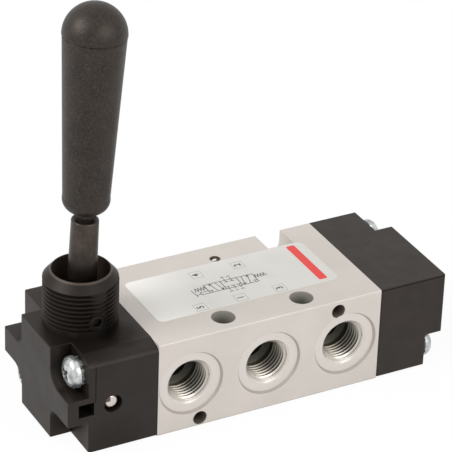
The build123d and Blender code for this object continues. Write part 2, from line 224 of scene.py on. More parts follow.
def placed(piece, x, y, z, turn=(0, 0, 0)):
    """Turns a piece (degrees about X, Y, Z) and moves it, into its mesh."""
    piece.rotation_euler = [math.radians(angle) for angle in turn]
    piece.location = metres(x, y, z)
    return settle(piece)


def copied(piece, name):
    """A copy with its own mesh."""
    twin = piece.copy()
    twin.data = piece.data.copy()
    twin.name = name
    bpy.context.scene.collection.objects.link(twin)
    return twin


def joined(name, pieces):
    """Several pieces as one."""
    whole = pick(*pieces)
    if len(pieces) > 1:
        bpy.ops.object.join()
    whole.name = name
    return whole


def smooth_copy(node, name):
    """A merged copy of a CAD node that can be cut and shades smoothly. It stands for the node."""
    piece = copied(nodes[node], name)
    piece.parent = None
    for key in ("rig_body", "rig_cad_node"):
        del piece[key]
    piece.data.materials.clear()
    pick(piece)
    bpy.ops.mesh.customdata_custom_splitnormals_clear()
    edit(piece)
    bpy.ops.mesh.remove_doubles(threshold=0.002 * mm)
    close_edit()
    soften(piece)
    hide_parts(node)
    return piece


def eased(piece, width, wanted):
    """Rounds the edges whose middle (in mm) a test accepts, and keeps the shading of the flat faces flat."""
    edit(piece)
    bpy.ops.mesh.dissolve_limited(angle_limit=math.radians(1))
    choose(piece, "EDGE", wanted)
    bpy.ops.mesh.bevel(offset=width * mm, segments=2, affect="EDGES")
    close_edit()
    soften(piece)
    apply_modifier(piece, "WEIGHTED_NORMAL", keep_sharp=True)
    return piece


def on_faces(place, spots):
    """Whether a place lies on one of some flat faces, given as (axis, position)."""
    return any(abs(place[axis] - position) < touching for axis, position in spots)


# Screw threads and fasteners


def thread_form(name, base_radius, base_half, tip_radius, tip_half, pitch, turns, low):
    """A closed four-sided thread form wound about Z, from its base radius to its tip radius."""
    deselect()
    depth = abs(base_radius - tip_radius)
    middle = (base_radius + tip_radius) / 2
    bpy.ops.mesh.primitive_plane_add(size=1, location=metres(middle, 0, low),
                                     rotation=(math.radians(90), 0, 0))
    piece = bpy.context.object
    piece.name = name
    piece.scale = (depth * mm, 2 * base_half * mm, 1)
    settle(piece)
    edit(piece)
    outward = 1 if tip_radius > base_radius else -1
    choose(piece, "VERT", lambda place: (place.x - middle) * outward > 0)
    narrow = tip_half / base_half
    bpy.ops.transform.resize(value=(1, 1, narrow), center_override=metres(tip_radius, 0, low))
    bpy.ops.mesh.select_all(action="SELECT")
    bpy.ops.mesh.delete(type="ONLY_FACE")
    bpy.ops.object.mode_set(mode="OBJECT")
    apply_modifier(piece, "SCREW", axis="Z", screw_offset=pitch * mm, iterations=turns,
                   steps=72, render_steps=72, use_smooth_shade=False)
    edit(piece)
    bpy.ops.mesh.fill_holes(sides=4)
    close_edit()
    return piece


def oval_bar(name, across_x, across_y, low, high, turn):
    """An upright bar with an oval outline, turned about Z."""
    bar = turned(name, [(1, low), (1, high)])
    bar.scale = (across_x, across_y, 1)
    settle(bar)
    return placed(bar, 0, 0, 0, (0, 0, turn))


def clear_of_fittings(place):
    """Whether a place on the housing is away from the collar's foot, the seam, the screws and the ears."""
    collar_reach, screw_reach = 8.4, 2.5
    seam_x, seam_reach, seam_from = -40.9, 0.3, 20
    inside = 0.1
    at_collar = Vector((place.x - lever_x, place.y)).length < collar_reach
    at_seam = abs(place.x - seam_x) < seam_reach and place.z > seam_from
    at_screw = place.x < housing_face + inside and any(
        Vector((place.y - y, place.z - z)).length < screw_reach for y, z in screw_seats[0][3])
    at_root = (abs(place.x - housing_face) < touching and abs(place.y) < half_width - inside
               and end_foot + inside < place.z < housing_top - inside)
    return not (at_collar or at_seam or at_screw or at_root)


def threaded_housing():
    """The operator housing with the moulded thread round its collar."""
    housing = smooth_copy("operator_housing", "threaded_housing")
    groove = thread_form("collar_groove", base_radius=8.25, base_half=0.5, tip_radius=7.42, tip_half=0.14,
                         pitch=1.02, turns=9, low=23.72)
    # bars taken out of the groove keep it shallow at the mould's parting line and towards the label, and the
    # wall round the pivot pin stays plain
    below, change, above = 20, 30.6, 36
    parting_turn = 6
    cut(groove, oval_bar("upper_parting", 5.0, 8.03, change, above, parting_turn))
    cut(groove, oval_bar("lower_parting", 5.0, 7.82, below, change, parting_turn))
    label_side = oval_bar("label_side", 5.65, 5.65, below, above, 0)
    cut(groove, placed(label_side, 2.2, 0, 0))
    pin_boss = turned("pin_boss", [(1.8, -10), (1.8, 10)], 48)
    cut(groove, placed(pin_boss, 0, 0, pivot_height, (90, 0, 0)))
    placed(groove, lever_x, 0, 0)
    cut(housing, groove)
    steady_order(housing)
    outer_faces = [(0, ear_face), (0, housing_face), (2, housing_top), (2, end_foot)]
    ear_edges = [(-half_width, 13.8), (-half_width, 7.7), (half_width, 14.6), (half_width, 8.5)]
    ears_from = -43.5

    def outer_edge(place):
        on_ear = place.x < ears_from and any(
            abs(place.y - y) < 0.05 and abs(place.z - z) < 0.05 for y, z in ear_edges)
        return place.x < -end_joint and clear_of_fittings(place) and (on_faces(place, outer_faces) or on_ear)

    return eased(housing, 0.22, outer_edge)


def eased_cap():
    """The end cap with its outer edges a little rounded."""
    cap = smooth_copy("end_cap", "eased_cap")
    corner_start = 15.4

    def outer_edge(place):
        on_face = on_faces(place, [(0, cap_face)]) and abs(place.y) < corner_start
        return place.x > end_joint and (on_faces(place, [(2, body_top), (2, end_foot)]) or on_face)

    return eased(cap, 0.26, outer_edge)


def pin_ring(name, side):
    """The small raised ring round the pivot pin's hole and the ridge beside it."""
    root = 6.9
    ring = turned(name, [
        (0.95, root), (1.36, root), (1.34, 8.0), (1.24, 8.14), (1.08, 8.14), (0.97, 8.02), (0.95, 7.9),
    ], 40)
    ridge = turned("ridge", [
        (1.86, root), (2.12, root), (2.1, 7.9), (2.0, 7.97), (1.9, 7.9), (1.86, 7.8),
    ], 56)
    # both start as closed pieces, and the inner faces of their ends are taken out and joined by a bore
    for round_piece, radius in ((ring, 0.5), (ridge, 1.5)):
        edit(round_piece, "FACE")
        choose(round_piece, "FACE", lambda place: place.xy.length < radius)
        bpy.ops.mesh.bridge_edge_loops()
        close_edit()
    cut(ridge, box("ridge_gap", -3, 0.5, -3, 3, 6, 9))
    whole = joined(name, [ring, ridge])
    placed(whole, 0, 0, 0, (90, 0, 0))
    if side > 0:
        placed(whole, 0, 0, 0, (0, 0, 180))
    placed(whole, lever_x, 0, pivot_height)
    return soften(whole)


def recess_wing(name, turn):
    """One bar of the cross recess, tapered towards its bottom."""
    floor, half_length, half_thickness = 0.7, 1.75, 0.36
    wing = box(name, -half_length, half_length, -half_thickness, half_thickness, floor, 3.0)
    edit(wing, "FACE")
    choose(wing, "FACE", lambda place: place.z < floor + 0.1)
    bpy.ops.transform.resize(value=(0.3, 0.75, 1), center_override=metres(0, 0, floor))
    close_edit()
    return placed(wing, 0, 0, 0, (0, 0, turn))


def pan_head_screw(name):
    """A pan-head screw with a cross recess, its head's underside at zero."""
    screw = turned(name, [
        (1.5, -22.0), (2.0, -21.5), (2.0, 0), (3.35, 0), (3.45, 0.12), (3.45, 0.75), (3.4, 1.05), (3.22, 1.4),
        (2.9, 1.72), (2.45, 1.98), (1.9, 2.16), (1.2, 2.27), (0.5, 2.3),
    ], 56)
    recess_turn = 33
    cut(screw, recess_wing("recess_long", recess_turn))
    cut(screw, recess_wing("recess_cross", recess_turn + 90))
    cut(screw, turned("recess_heart", [(0.25, 0.5), (0.95, 2.6)], 24))
    return soften(screw, 32)


def toothed_washer(name):
    """A lock washer whose outer teeth are twisted, its underside at zero."""
    teeth = 15
    middle = metres(0, 0, washer_height / 2)
    deselect()
    bpy.ops.mesh.primitive_cylinder_add(vertices=2 * teeth, radius=2.75 * mm, depth=0.7 * mm, location=middle)
    washer = bpy.context.object
    washer.name = name
    settle(washer)
    edit(washer, "FACE")
    choose(washer, "FACE", lambda place: abs(place.x) < 0.1 and abs(place.y) < 0.1)
    bpy.ops.mesh.inset(thickness=0.9 * mm)
    bpy.ops.mesh.bridge_edge_loops()
    step = math.pi / teeth
    choose(washer, "FACE", lambda place: place.xy.length > 2.6
           and round(math.atan2(place.y, place.x) / step - 0.5) % 2 == 0)
    bpy.ops.mesh.extrude_region_move(TRANSFORM_OT_translate={"value": (0, 0, 0)})
    bpy.ops.transform.resize(value=(1.14, 1.14, 1.1), center_override=middle)
    bpy.ops.transform.rotate(value=math.radians(4), orient_axis="Z", center_override=middle)
    close_edit()
    return soften(washer)


def end_screws():
    """Screws and washers at both ends of the valve, the second pair of an end turned further than the first."""
    turn_step = 17
    screw = pan_head_screw("screw_pattern")
    washer = toothed_washer("washer_pattern")
    made = []
    for end, seat, outward, places in screw_seats:
        for number, (y, z) in enumerate(places, 1):
            spin = (0, 0, turn_step * number)
            head = copied(screw, f"{end}_screw_{number}")
            placed(head, 0, 0, 0, spin)
            placed(head, seat + outward * washer_height, y, z, (0, 90 * outward, 0))
            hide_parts(f"{end}_screws")
            ring = copied(washer, f"{end}_washer_{number}")
            placed(ring, 0, 0, 0, spin)
            placed(ring, seat, y, z, (0, 90 * outward, 0))
            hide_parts(f"{end}_washers")
            made += [head, ring]
    bpy.data.objects.remove(screw)
    bpy.data.objects.remove(washer)
    return made


def port_threads():
    """The pipe thread inside each of the five ports."""
    pattern = thread_form("port_thread_pattern", base_radius=4.9, base_half=0.42, tip_radius=4.3, tip_half=0.07,
                          pitch=0.907, turns=7, low=-7.25)
    cut(pattern, turned("mouth_cone", [(4.15, -1.85), (5.5, -0.5), (5.5, 0.5)]))
    soften(pattern, 40)
    made = []
    for name, x, side in ports:
        thread = copied(pattern, f"port_{name}_thread")
        made.append(placed(thread, x, side * half_width, axis_height, (90 * -side, 0, 0)))
    bpy.data.objects.remove(pattern)
    return made


# Label artwork: port numbers and the plain symbol of a five-port, three-position valve


def ink_line(start, end, width=0.15):
    """One printed line between two (x, y) points of the label."""
    deselect()
    run = Vector((end[0] - start[0], end[1] - start[1]))
    middle = metres((start[0] + end[0]) / 2, (start[1] + end[1]) / 2, label_top)
    ink_height = 0.03
    bpy.ops.mesh.primitive_cube_add(size=1, location=middle, rotation=(0, 0, math.atan2(run.y, run.x)),
                                    scale=metres(run.length + width * 0.8, width, ink_height))
    return settle(bpy.context.object)


def ink_path(points, width=0.15):
    """Printed lines from point to point."""
    return [ink_line(start, end, width) for start, end in zip(points, points[1:])]


def ink_arrow(start, end):
    """A line with an arrow head at its end."""
    barb_length = 0.75
    run = Vector((end[0] - start[0], end[1] - start[1])).normalized() * barb_length
    lines = [ink_line(start, end)]
    for turn in (155, -155):
        angle = math.radians(turn)
        barb = Vector((run.x * math.cos(angle) - run.y * math.sin(angle),
                       run.x * math.sin(angle) + run.y * math.cos(angle)))
        lines.append(ink_line(end, (end[0] + barb.x, end[1] + barb.y), 0.16))
    return lines


def ink_stop(x, y, inwards):
    """A closed port: a short stem with a bar across it."""
    stem, half_bar = 0.75, 0.42
    tip = y + inwards * stem
    return [ink_line((x, y), (x, tip)), ink_line((x - half_bar, tip), (x + half_bar, tip), 0.16)]


def ink_word(text, x, y, size):
    """Printed figures whose tops point towards the lever."""
    deselect()
    bpy.ops.object.text_add(location=metres(x, y, label_top - 0.005), rotation=(0, 0, math.radians(90)))
    word = bpy.context.object
    word.data.body = text
    word.data.size = size * mm
    word.data.align_x = "CENTER"
    word.data.align_y = "CENTER"
    word.data.extrude = 0.01 * mm
    word.data.offset = 0.015 * size * mm
    pick(word)
    bpy.ops.object.convert(target="MESH")
    return settle(bpy.context.object)


def printed_label():
    """The thin label with round corners."""
    film = box("printed_label", *label_edges, body_top, label_top)
    left, right, front, back = label_edges
    middle = Vector(((left + right) / 2, (front + back) / 2, (body_top + label_top) / 2))
    edit(film, "EDGE")
    choose(film, "EDGE", lambda place: abs(place.z - middle.z) < touching
           and abs(place.x - middle.x) > 1 and abs(place.y - middle.y) > 1)
    bpy.ops.mesh.bevel(offset=1.5 * mm, segments=8, affect="EDGES")
    close_edit()
    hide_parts("label_plate")
    return soften(film)


def port_numbers():
    """The five port numbers, and the thin frames round them."""
    ink = []
    frames = []
    size, reach = 2.2, 1.3
    back, front = 6.2, -6.0
    for text, x, y in (("4", -6.65, back), ("2", 3.45, back),
                       ("5", -11.8, front), ("1", -2.2, front), ("3", 7.2, front)):
        ink.append(ink_word(text, x, y, size))
        corners = [(x + across * reach, y + along * reach)
                   for across, along in ((-1, -1), (1, -1), (1, 1), (-1, 1))]
        frames += ink_path(corners + corners[:1], 0.08)
    return joined("label_port_numbers", ink), joined("label_number_frames", frames)


def valve_symbol():
    """Three squares with their flow paths, springs at both ends and the lever."""
    side = 3.9
    left = -7.2
    low, high = -1.65, 1.65
    tail, figure_gap, figure_size = 0.7, 1.25, 1.1
    ink = []
    for number in range(3):
        x = left + number * side
        corners = [(x, low), (x + side, low), (x + side, high), (x, high)]
        ink += ink_path(corners + corners[:1])
    # where the ports stand along a square, and what each square joins
    ports_low = [0.6, 1.95, 3.3]
    ports_high = [1.25, 2.65]
    ink += ink_arrow((left + ports_low[1], low), (left + ports_high[0], high))
    ink += ink_arrow((left + ports_high[1], high), (left + ports_low[2], low))
    ink += ink_stop(left + ports_low[0], low, 1)
    middle = left + side
    for x in ports_low:
        ink += ink_stop(middle + x, low, 1)
        ink += ink_path([(middle + x, low - tail), (middle + x, low)])
    for x in ports_high:
        ink += ink_stop(middle + x, high, -1)
        ink += ink_path([(middle + x, high), (middle + x, high + tail)])
    far = left + 2 * side
    ink += ink_arrow((far + ports_low[1], low), (far + ports_high[1], high))
    ink += ink_arrow((far + ports_high[0], high), (far + ports_low[0], low))
    ink += ink_stop(far + ports_low[2], low, 1)
    # the springs, from the outer squares outwards
    rise, half_swing = 0.34, 0.65
    for start, way in ((far + side, 1), (left, -1)):
        zigzag = [(start + way * rise * step, 0.5 + (half_swing if step % 2 else -half_swing))
                  for step in range(1, 9)]
        ink += ink_path([(start, -0.15)] + zigzag)
    # the lever: its box, its arm and its grip
    box_end, box_top = left - 2.0, low + 0.9
    grip_foot = left - 3.1
    ink += ink_path([(left, low), (box_end, low), (box_end, box_top), (left, box_top)])
    ink += ink_path([(box_end, low + 0.45), (grip_foot, low + 0.1)])
    ink += ink_path([(grip_foot, low - 0.35), (left - 3.4, high - 0.9)], 0.16)
    for figures, places, y in (("42", ports_high, high + figure_gap), ("513", ports_low, low - figure_gap)):
        for figure, x in zip(figures, places):
            ink.append(ink_word(figure, middle + x, y, figure_size))
    return joined("label_valve_symbol", ink)


def label_stripe():
    """A plain red stripe across the cap end of the label."""
    stripe = box("label_stripe", 16.6, 18.6, -6.6, 8.6, label_top - 0.02, label_top + 0.02)
    edit(stripe, "EDGE")
    choose(stripe, "EDGE", lambda place: abs(place.z - label_top) < touching)
    bpy.ops.mesh.bevel(offset=0.4 * mm, segments=4, affect="EDGES")
    close_edit()
    return stripe


# Shader arithmetic


class Value:
    """A shader socket that takes part in sums like a number."""

    def __init__(self, finish, socket):
        self.finish = finish
        self.socket = socket

    def math(self, operation, *others, first=None):
        terms = [self if first is None else first, *others]
        return self.finish.node("ShaderNodeMath", {"operation": operation}, dict(enumerate(terms)))

    def __add__(self, other):
        return self.math("ADD", other)

    def __radd__(self, other):
        return self.math("ADD", self, first=other)

    def __sub__(self, other):
        return self.math("SUBTRACT", other)

    def __rsub__(self, other):
        return self.math("SUBTRACT", self, first=other)

    def __mul__(self, other):
        return self.math("MULTIPLY", other)

    def __rmul__(self, other):
        return self.math("MULTIPLY", self, first=other)

    def __truediv__(self, other):
        return self.math("DIVIDE", other)

    def __rtruediv__(self, other):
        return self.math("DIVIDE", self, first=other)

    def __pow__(self, other):
        return self.math("POWER", other)

    def __gt__(self, other):
        return self.math("GREATER_THAN", other)

    def __lt__(self, other):
        return self.math("LESS_THAN", other)


class Finish:
    """A material built node by node."""

    def __init__(self, name):
        self.material = bpy.data.materials.new(name)
        self.material.use_nodes = True
        self.tree = self.material.node_tree
        self.tree.nodes.clear()
        self.place = self.node("ShaderNodeTexCoord", out="Object")
        parts = self.node("ShaderNodeSeparateXYZ", inputs={0: self.place})
        outputs = parts.socket.node.outputs
        self.x, self.y, self.z = (Value(self, outputs[axis]) for axis in "XYZ")

    def node(self, kind, settings=None, inputs=None, out=0):
        """One node: its settings first, then its inputs. Gives one of its outputs."""
        made = self.tree.nodes.new(kind)
        for key, value in (settings or {}).items():
            setattr(made, key, value)
        for key, value in (inputs or {}).items():
            if isinstance(value, Value):
                self.tree.links.new(value.socket, made.inputs[key])
            else:
                made.inputs[key].default_value = value
        return Value(self, made.outputs[out]) if made.outputs else None

    def noise(self, size, detail, stretch=(1, 1, 1), turn=(0, 0, 0)):
        """Soft noise whose lumps are about size millimetres across, from 0 to 1."""
        place = self.node("ShaderNodeMapping", {"vector_type": "TEXTURE"},
                          {0: self.place, "Scale": stretch, "Rotation": turn})
        return self.node("ShaderNodeTexNoise", {"noise_dimensions": "3D"},
                         {"Vector": place, "Scale": 1 / (size * mm), "Detail": detail, "Roughness": 0.55})

    def sharpened(self, value, low, high):
        """Stretches the part of a value between low and high to the whole range from 0 to 1."""
        return self.node("ShaderNodeMapRange", {"clamp": True},
                         {"Value": value, "From Min": low, "From Max": high, "To Min": 0.0, "To Max": 1.0})

    def between(self, share, first, second):
        """A colour or two blended by a share."""
        first, second = [c if isinstance(c, Value) else (*c, 1) for c in (first, second)]
        return self.node("ShaderNodeMix", {"data_type": "RGBA"}, {0: share, 6: first, 7: second}, out=2)

    def near(self, x, y, radius, fold=None, across="y"):
        """1 inside a circle in X and Y or, with across="z", in X and Z.

        A fold puts one on both sides of x, at that distance."""
        run = self.x - x * mm
        if fold is not None:
            run = run.math("ABSOLUTE") - fold * mm
        rise = (self.y if across == "y" else self.z) - y * mm
        return (run ** 2.0 + rise ** 2.0) ** 0.5 < radius * mm

    def bump(self, height, strength, depth, under=None):
        """Relief of a depth in millimetres."""
        inputs = {"Height": height, "Strength": strength, "Distance": depth * mm}
        if under is not None:
            inputs["Normal"] = under
        return self.node("ShaderNodeBump", inputs=inputs)

    def surface(self, **inputs):
        """Ends the material with a Principled shader. Words like base_color name its sockets."""
        named = {key.replace("_", " ").title().replace("Ior", "IOR"): value for key, value in inputs.items()}
        for key in ("Base Color", "Specular Tint"):
            if key in named and not isinstance(named[key], Value):
                named[key] = (*named[key], 1)
        shader = self.node("ShaderNodeBsdfPrincipled", inputs=named)
        self.node("ShaderNodeOutputMaterial", inputs={0: shader})
        return self.material


def linear(red, green, blue):
    """A colour seen on a screen, 0 to 255, as the linear values that a shader takes."""
    shown = [part / 255 for part in (red, green, blue)]
    return tuple(part / 12.92 if part <= 0.04045 else ((part + 0.055) / 1.055) ** 2.4 for part in shown)


# Finishes


def satin_aluminium():
    """The body: satin anodised light alloy with machined ports, a painted highlight at their mouths and painted
    shade inwards.

    The ports are found by folding the row onto one port. Run and radius are measured from that port's axis
    and depth from the wall."""
    finish = Finish("satin_aluminium")
    passage_radius, mouth_radius, spotface_radius, rim_radius = 3.05, 5.25, 7.12, 7.52
    thread_depth = 8.3
    back = finish.y > 0.0
    along = finish.x - port_row_x * mm - back * (port_pitch / 2 * mm)
    run = along - (along / (port_pitch * mm)).math("ROUND") * (port_pitch * mm)
    radius = (run ** 2.0 + (finish.z - axis_height * mm) ** 2.0) ** 0.5
    depth = half_width * mm - finish.y.math("ABSOLUTE")
    machined = (radius < mouth_radius * mm) * (depth > 0.65 * mm)
    spotface = (radius < spotface_radius * mm) * (depth > 0.1 * mm) * (depth < 0.75 * mm)
    rim_shade = (radius > 7.1 * mm) * (radius < rim_radius * mm) * (depth > 0.03 * mm) * (depth < 0.62 * mm)
    drilled_end = (depth > thread_depth * mm) * (radius < mouth_radius * mm)
    passage = drilled_end * (radius < passage_radius * mm)
    # painted shade in the ports: darker inwards, at the thread roots, on the far wall, in the upper part, at
    # the drilled end and in the passage
    shaded = finish.sharpened(finish.z, (axis_height - 4.5) * mm, (axis_height + 1.5) * mm)
    inside = finish.sharpened(depth, 1.0 * mm, 7.5 * mm)
    # painted highlight: each port's mouth is painted bright
    mouth = machined * (1 - finish.sharpened(depth, 1.1 * mm, 2.2 * mm))
    far_wall_shade = finish.sharpened(run, -2.4 * mm, 1.6 * mm) * finish.sharpened(depth, 1.6 * mm, 4.4 * mm)
    upper = finish.sharpened(finish.z, (axis_height - 1.5) * mm, (axis_height + 2.5) * mm)
    far_wall_shade = far_wall_shade * (1 - 0.75 * upper)
    root_shade = finish.sharpened(radius, 4.35 * mm, 4.8 * mm) * (depth > 1.2 * mm) * (depth < 7.8 * mm)
    sink = body_top * mm - finish.z
    fixing = finish.near(fixing_hole_x, fixing_hole_y, 2.62, fold=fixing_hole_step) * (sink > 0.12 * mm)
    plugged = finish.near(0.3, 10.7, 1.25) * (sink > 0.05 * mm)
    low_hole, high_hole = [finish.near(x, z, 1.63, across="z") for x, z in side_hole_places]
    side_holes = (low_hole + high_hole) * (depth > 0.1 * mm)
    cloud = finish.noise(9.0, 2.0)
    grain = finish.noise(0.16, 3.0)
    drawn = finish.noise(0.22, 2.0, (60, 1, 1))
    ring_pitch = 0.16
    rings = (radius * (2 * math.pi / (ring_pitch * mm))).math("SINE")
    colour = finish.between(finish.sharpened(cloud, 0.3, 0.7), linear(211, 203, 196), linear(204, 198, 191))
    colour = finish.between(finish.sharpened(grain, 0.35, 0.75) * 0.25, colour, linear(192, 184, 176))
    colour = finish.between(finish.sharpened(drawn, 0.55, 0.75) * 0.2, colour, linear(222, 216, 209))
    colour = finish.between(spotface * 0.6, colour, linear(219, 212, 206))
    # painted shade on the sloped wall of each spotface
    colour = finish.between(rim_shade * 0.8, colour, linear(168, 160, 152))
    # painted shade along the foot, where the body meets the floor
    foot = finish.z < 0.3 * mm
    colour = finish.between(foot * 0.5, colour, linear(150, 144, 137))
    # the bare metal of the ports, with its painted shade and the painted highlight of the mouth
    bare = finish.between(inside, linear(210, 204, 194), linear(136, 128, 116))
    bare = finish.between(root_shade * 0.6, bare, linear(96, 88, 80))
    bare = finish.between(shaded * (depth > 1.3 * mm) * 0.2, bare, linear(58, 54, 48))
    bare = finish.between(far_wall_shade * 0.62, bare, linear(46, 44, 38))
    bare = finish.between(mouth * 0.7, bare, linear(224, 218, 210))
    end_shade = finish.between(shaded, linear(146, 144, 134), linear(102, 101, 94))
    bare = finish.between(drilled_end, bare, end_shade)
    bare = finish.between(passage, bare, linear(64, 62, 56))
    colour = finish.between(machined, colour, bare)
    # painted shade: the fixing holes darken with depth
    fixing_shade = finish.between(finish.sharpened(sink, 0.3 * mm, 6.0 * mm),
                                 linear(182, 178, 170), linear(104, 100, 93))
    colour = finish.between(fixing, colour, fixing_shade)
    # painted shade in the hole above the pressed-in ball
    colour = finish.between(plugged, colour, linear(120, 111, 101))
    # painted shade: the side holes darken with depth
    side_hole_shade = finish.between(finish.sharpened(depth, 0.2 * mm, 3.0 * mm),
                               linear(150, 138, 128), linear(88, 79, 72))
    colour = finish.between(side_holes, colour, side_hole_shade)
    # the mouth's painted highlight is also less metallic
    metallic = 0.3 + 0.68 * machined - 0.5 * drilled_end - 0.5 * mouth
    rough = 0.42 + 0.1 * drawn - spotface * 0.06 - machined * 0.16
    relief = finish.bump(grain, 0.25, 0.02)
    relief = finish.bump(drawn, 0.2, 0.012, relief)
    relief = finish.bump(rings * (spotface + machined), 0.12, 0.01, relief)
    return finish.surface(base_color=colour, metallic=metallic, roughness=rough, normal=relief)


def moulded(name, dark, pale, grain_size, rough, relief_depth, mottle=0.5, fleck=0.35, shade_spots=(), line=None,
            sheen=0.38):
    """Black moulded plastic with a fine grain, pale specks and faint clouds.

    The spots are round painted shade, dark, without sheen. A line is painted shade on the front, under that
    height."""
    throat_radius, throat_floor = 6.6, 23.5
    line_height = 0.24
    finish = Finish(name)
    cloud = finish.noise(4.0, 3.0)
    grain = finish.noise(grain_size, 4.0)
    specks = finish.sharpened(finish.noise(0.5, 2.0), 0.735, 0.79)
    colour = finish.between(finish.sharpened(cloud, 0.35, 0.7) * mottle, dark, pale)
    colour = finish.between(finish.sharpened(grain, 0.45, 0.7) * fleck, colour, pale)
    colour = finish.between(specks * 0.45, colour, linear(120, 112, 104))
    shade = 0.0
    # painted shade round each spot, its sheen also taken away through the metallic share
    for x, y, z, reach, strength in shade_spots:
        away = ((finish.x - x * mm) ** 2.0 + (finish.y - y * mm) ** 2.0 + (finish.z - z * mm) ** 2.0) ** 0.5
        dimmed = (1 - finish.sharpened(away, 0.45 * reach * mm, reach * mm)) * strength
        shade = dimmed + shade * (1 - dimmed)
    if shade_spots:
        # painted light: the collar's throat is painted lighter, without the painted shade
        throat = finish.near(lever_x, 0, throat_radius) * (finish.z > throat_floor * mm)
        shade = shade * (1 - throat)
        colour = finish.between(shade, colour, linear(6, 5, 4))
        colour = finish.between(throat, colour, linear(62, 53, 46))
    if line is not None:
        # painted shade: a dark band on the front just under the line's height
        band = (finish.z < line * mm) * (finish.z > (line - line_height) * mm)
        shade = band * (finish.y < (0.1 - half_width) * mm) * 0.8
        colour = finish.between(shade, colour, linear(12, 10, 8))
    relief = finish.bump(grain, 0.35, relief_depth)
    relief = finish.bump(cloud, 0.15, relief_depth * 2, relief)
    return finish.surface(base_color=colour, metallic=shade, roughness=rough - 0.1 * cloud + 0.08 * grain,
                          specular_ior_level=sheen, specular_tint=(1.0, 0.89, 0.82), normal=relief)


def turned_steel(name, dark, pale, rough, tilt):
    """Dark steel with fine turning rings about a leaning axis, and painted shade where it is down in the
    collar.
    """
    sunk_from, clear_from = 33.0, 42.0
    finish = Finish(name)
    rings = finish.noise(0.09, 2.0, (80, 80, 1), turn=(0, math.radians(tilt), 0))
    streak = finish.noise(0.5, 2.0, (1, 1, 14), turn=(0, math.radians(tilt), 0))
    blotch = finish.noise(2.2, 3.0)
    colour = finish.between(finish.sharpened(blotch, 0.35, 0.7), dark, pale)
    colour = finish.between(finish.sharpened(streak, 0.5, 0.8) * 0.4, colour, pale)
    specks = finish.sharpened(finish.noise(0.35, 2.0), 0.7, 0.76)
    colour = finish.between(specks * 0.4, colour, linear(150, 140, 130))
    # painted shade: darker where the rod is down in the collar
    collar_shade = 1 - finish.sharpened(finish.z, sunk_from * mm, clear_from * mm)
    colour = finish.between(collar_shade * 0.8, colour, linear(12, 9, 7))
    relief = finish.bump(rings, 0.35, 0.01)
    return finish.surface(base_color=colour, metallic=0.6, roughness=rough + 0.12 * rings - 0.06 * streak,
                          normal=relief)


def plated(name, colour, tint, rough, metallic=1.0, recesses=()):
    """Bright plating with a cloudy tint and faint handling marks, and painted shade in the screws' recesses."""
    recess_radius, recess_floor, recess_rim = 1.78, 1.3, 2.96
    finish = Finish(name)
    cloud = finish.noise(1.6, 2.0)
    marks = finish.noise(0.2, 3.0, (1, 6, 1))
    shade = finish.between(finish.sharpened(cloud, 0.4, 0.65), colour, tint)
    for _, seat, outward, places in recesses:
        height = (finish.x - seat * mm) * outward
        for y, z in places:
            away = ((finish.y - y * mm) ** 2.0 + (finish.z - z * mm) ** 2.0) ** 0.5
            recess = (away < recess_radius * mm) * (height < recess_rim * mm) * (height > recess_floor * mm)
            # painted shade down in each cross recess
            shade = finish.between(recess * 0.85, shade, linear(52, 64, 70))
    relief = finish.bump(marks, 0.2, 0.01)
    return finish.surface(base_color=shade, metallic=metallic, roughness=rough + 0.12 * marks, normal=relief)


def pin_steel():
    """The cross pin: ground bright, with a painted dark reflection at the edge of its dome."""
    finish = Finish("pin_steel")
    # painted reflection: a dark patch at the upper left of the dome
    painted_reflection = (finish.x < (lever_x - 0.25) * mm) * (finish.z > (axis_height + 0.15) * mm)
    marks = finish.noise(0.2, 3.0, (1, 6, 1))
    colour = finish.between(painted_reflection * 0.9, linear(216, 206, 198), linear(74, 60, 50))
    return finish.surface(base_color=colour, metallic=0.9, roughness=0.3 + 0.12 * marks,
                          normal=finish.bump(marks, 0.2, 0.01))


def ball_steel():
    """The pressed-in ball: a painted highlight on its crown, painted shade where it goes down into its hole."""
    finish = Finish("ball_steel")
    crown = finish.near(0.2, 10.8, 0.5)
    grain = finish.noise(0.2, 2.0)
    # painted highlight on the crown, painted shade on the rest
    colour = finish.between(crown, linear(118, 108, 98), linear(238, 234, 226))
    return finish.surface(base_color=colour, metallic=0.9, roughness=0.3 + 0.1 * grain,
                          normal=finish.bump(grain, 0.1, 0.01))


def rubber():
    """Matt black rubber."""
    finish = Finish("black_rubber")
    grain = finish.noise(0.3, 3.0)
    colour = finish.between(grain, linear(34, 33, 32), linear(48, 46, 44))
    return finish.surface(base_color=colour, roughness=0.7 + 0.1 * grain,
                          normal=finish.bump(grain, 0.2, 0.02))


def label_film():
    """Pale printed film, cloudy, with painted light towards the lever."""
    finish = Finish("label_film")
    cloud = finish.noise(6.0, 2.0)
    grain = finish.noise(0.12, 2.0)
    colour = finish.between(finish.sharpened(cloud, 0.3, 0.7), linear(220, 218, 212), linear(215, 213, 208))
    # painted light towards the lever, against the shadow of the collar and lever
    colour = finish.between(finish.sharpened(finish.x, -22.5 * mm, -9.0 * mm), linear(246, 243, 238), colour)
    return finish.surface(base_color=colour, roughness=0.55 + 0.1 * grain,
                          normal=finish.bump(grain, 0.1, 0.01))


def ink(name, colour, worn):
    """Printing ink, a little uneven."""
    finish = Finish(name)
    wear = finish.sharpened(finish.noise(0.25, 3.0), 0.5, 0.8)
    shade = finish.between(wear * 0.5, colour, worn)
    return finish.surface(base_color=shade, roughness=0.45 + 0.1 * wear)


# The object


bpy.ops.object.select_all(action="SELECT")
bpy.ops.object.delete()
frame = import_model()
nodes = frame["nodes"]
